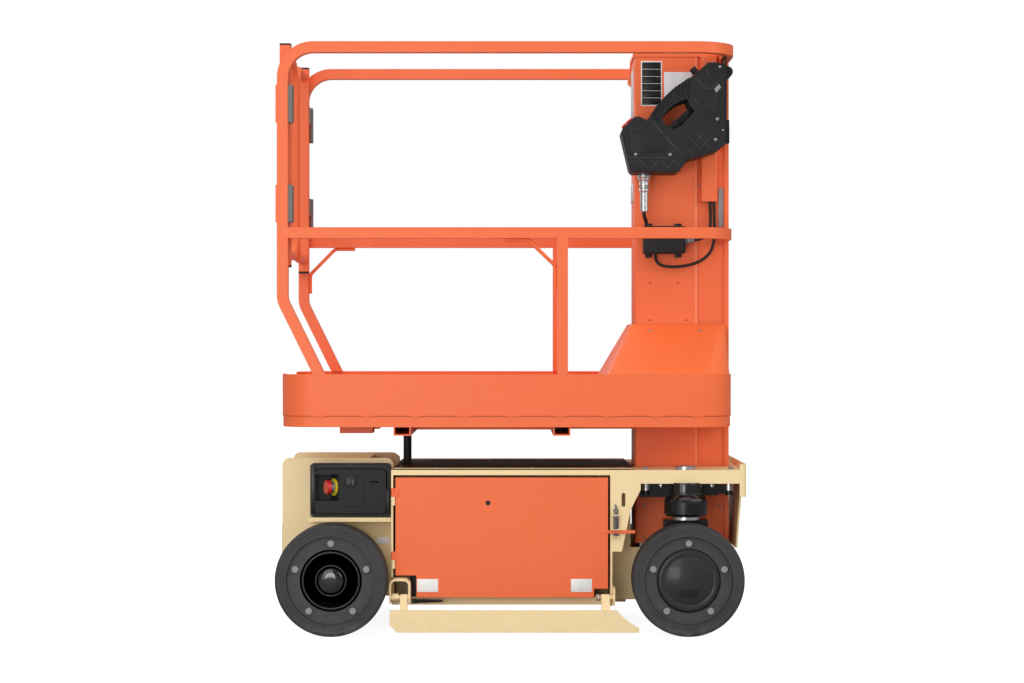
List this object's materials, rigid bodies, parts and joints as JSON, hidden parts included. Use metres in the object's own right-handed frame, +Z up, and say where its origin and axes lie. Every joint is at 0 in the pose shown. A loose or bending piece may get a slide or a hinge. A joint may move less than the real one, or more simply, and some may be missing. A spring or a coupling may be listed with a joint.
{
  "type": "vertical mast lift",
  "caption": "Self-propelled mast lift: railed work platform on a telescopic mast over a narrow wheeled chassis with battery doors, pothole guards, steps and saloon gates.",
  "frame": {"origin": "centre of the machine's length and width, on the floor", "axes": "+X towards the mast end, +Y to the left side, +Z up"},
  "size_m": [1.376, 0.76, 1.728],
  "materials": {
    "orange_paint": "satin powder coat",
    "cream_paint": "satin powder coat",
    "dark_cover": "matt",
    "black_plastic": "moulded grain",
    "black_casting": "painted casting",
    "mast_metal": "brushed",
    "bright_steel": "turned",
    "solid_tyre": "matt",
    "rim_paint": "satin",
    "battery_case": "matt",
    "yellow_plastic": "gloss",
    "red_plastic": "gloss"
  },
  "bodies": {
    "chassis": {"chassis_frame": "cream_paint", "top_cover": "dark_cover", "nose_cover": "cream_paint", "rear_frame": "cream_paint", "entry_steps": "cream_paint", "rear_axle_stubs": "bright_steel", "battery_pack_left": "battery_case", "battery_pack_right": "battery_case", "ground_control_box": "black_plastic", "electrical_box": "black_plastic", "ground_stop_ring": "yellow_plastic", "ground_stop_button": "red_plastic", "guard_brackets": "cream_paint", "kingpin_housings": "black_casting", "mast_base": "mast_metal"},
    "mast_stage_1": {"mast_stage_1": "mast_metal"},
    "mast_stage_2": {"mast_stage_2": "mast_metal"},
    "platform": {"mast_outer": "orange_paint", "mast_cap": "orange_paint", "platform_deck": "orange_paint", "deck_frame": "orange_paint", "push_rod": "black_plastic", "mast_skirt": "orange_paint", "guard_rail_left": "orange_paint", "guard_rail_right": "orange_paint", "platform_control_box": "black_plastic", "console_bracket": "black_plastic", "joystick": "black_plastic", "platform_stop_button": "red_plastic", "strain_relief": "bright_steel", "control_lead": "black_plastic", "junction_box": "black_plastic", "cable_gland": "bright_steel", "hose_cover": "orange_paint", "upper_cable": "black_plastic", "lower_cable": "black_plastic", "cable_strip": "mast_metal"},
    "battery_door_left": {"battery_door_left": "orange_paint", "door_strap_left": "orange_paint"},
    "pothole_guard_left": {"pothole_guard_left": "cream_paint"},
    "gate_left": {"gate_left": "orange_paint"},
    "steer_left": {"kingpin_left": "bright_steel", "knuckle_left": "black_casting"},
    "wheel_front_left": {"tyre_front_left": "solid_tyre", "rim_front_left": "rim_paint"},
    "wheel_rear_left": {"tyre_rear_left": "solid_tyre", "rim_rear_left": "rim_paint"},
    "battery_door_right": {"battery_door_right": "orange_paint", "door_strap_right": "orange_paint"},
    "pothole_guard_right": {"pothole_guard_right": "cream_paint"},
    "gate_right": {"gate_right": "orange_paint"},
    "steer_right": {"kingpin_right": "bright_steel", "knuckle_right": "black_casting"},
    "wheel_front_right": {"tyre_front_right": "solid_tyre", "rim_front_right": "rim_paint"},
    "wheel_rear_right": {"tyre_rear_right": "solid_tyre", "rim_rear_right": "rim_paint"}
  },
  "joints": [
    {"name": "steer_left_turn", "type": "hinge", "parent": "chassis", "child": "steer_left", "pos_m": [0.511, 0.26, 0.3], "axis": [0, 0, 1], "range_deg": [-35, 35]},
    {"name": "wheel_front_left_spin", "type": "hinge", "parent": "steer_left", "child": "wheel_front_left", "pos_m": [0.511, 0.33, 0.1625], "axis": [0, 1, 0], "continuous": true},
    {"name": "wheel_rear_left_spin", "type": "hinge", "parent": "chassis", "child": "wheel_rear_left", "pos_m": [-0.524, 0.33, 0.1625], "axis": [0, 1, 0], "continuous": true},
    {"name": "battery_door_left_swing", "type": "hinge", "parent": "chassis", "child": "battery_door_left", "pos_m": [-0.348, 0.298, 0.28], "axis": [0, 0, 1], "range_deg": [0, 90]},
    {"name": "pothole_guard_left_fold", "type": "hinge", "parent": "chassis", "child": "pothole_guard_left", "pos_m": [0, 0.328, 0.109], "axis": [-1, 0, 0], "range_deg": [0, 75], "stiffness_Nm_per_rad": 5, "springref_deg": -51.57},
    {"name": "gate_left_swing", "type": "hinge", "parent": "platform", "child": "gate_left", "pos_m": [-0.64325, 0.29925, 1.4], "axis": [0, 0, 1], "range_deg": [0, 90], "stiffness_Nm_per_rad": 2, "springref_deg": -17.19},
    {"name": "steer_right_turn", "type": "hinge", "parent": "chassis", "child": "steer_right", "pos_m": [0.511, -0.26, 0.3], "axis": [0, 0, 1], "range_deg": [-35, 35]},
    {"name": "wheel_front_right_spin", "type": "hinge", "parent": "steer_right", "child": "wheel_front_right", "pos_m": [0.511, -0.33, 0.1625], "axis": [0, 1, 0], "continuous": true},
    {"name": "wheel_rear_right_spin", "type": "hinge", "parent": "chassis", "child": "wheel_rear_right", "pos_m": [-0.524, -0.33, 0.1625], "axis": [0, 1, 0], "continuous": true},
    {"name": "battery_door_right_swing", "type": "hinge", "parent": "chassis", "child": "battery_door_right", "pos_m": [-0.348, -0.298, 0.28], "axis": [0, 0, -1], "range_deg": [0, 90]},
    {"name": "pothole_guard_right_fold", "type": "hinge", "parent": "chassis", "child": "pothole_guard_right", "pos_m": [0, -0.328, 0.109], "axis": [1, 0, 0], "range_deg": [0, 75], "stiffness_Nm_per_rad": 5, "springref_deg": -51.57},
    {"name": "gate_right_swing", "type": "hinge", "parent": "platform", "child": "gate_right", "pos_m": [-0.64325, -0.29925, 1.4], "axis": [0, 0, -1], "range_deg": [0, 90], "stiffness_Nm_per_rad": 2, "springref_deg": -17.19},
    {"name": "mast_stage_1_slide", "type": "slide", "parent": "chassis", "child": "mast_stage_1", "axis": [0, 0, 1], "range_m": [-0.0233, 1.007]},
    {"name": "mast_stage_2_slide", "type": "slide", "parent": "mast_stage_1", "child": "mast_stage_2", "axis": [0, 0, 1], "range_m": [-0.0233, 1.007]},
    {"name": "platform_slide", "type": "slide", "parent": "mast_stage_2", "child": "platform", "axis": [0, 0, 1], "range_m": [-0.0233, 1.007]}
  ],
  "couplings": [
    {"joint": "steer_right_turn", "follows": "steer_left_turn", "ratio": 1},
    {"joint": "mast_stage_2_slide", "follows": "mast_stage_1_slide", "ratio": 1},
    {"joint": "platform_slide", "follows": "mast_stage_1_slide", "ratio": 1}
  ]
}
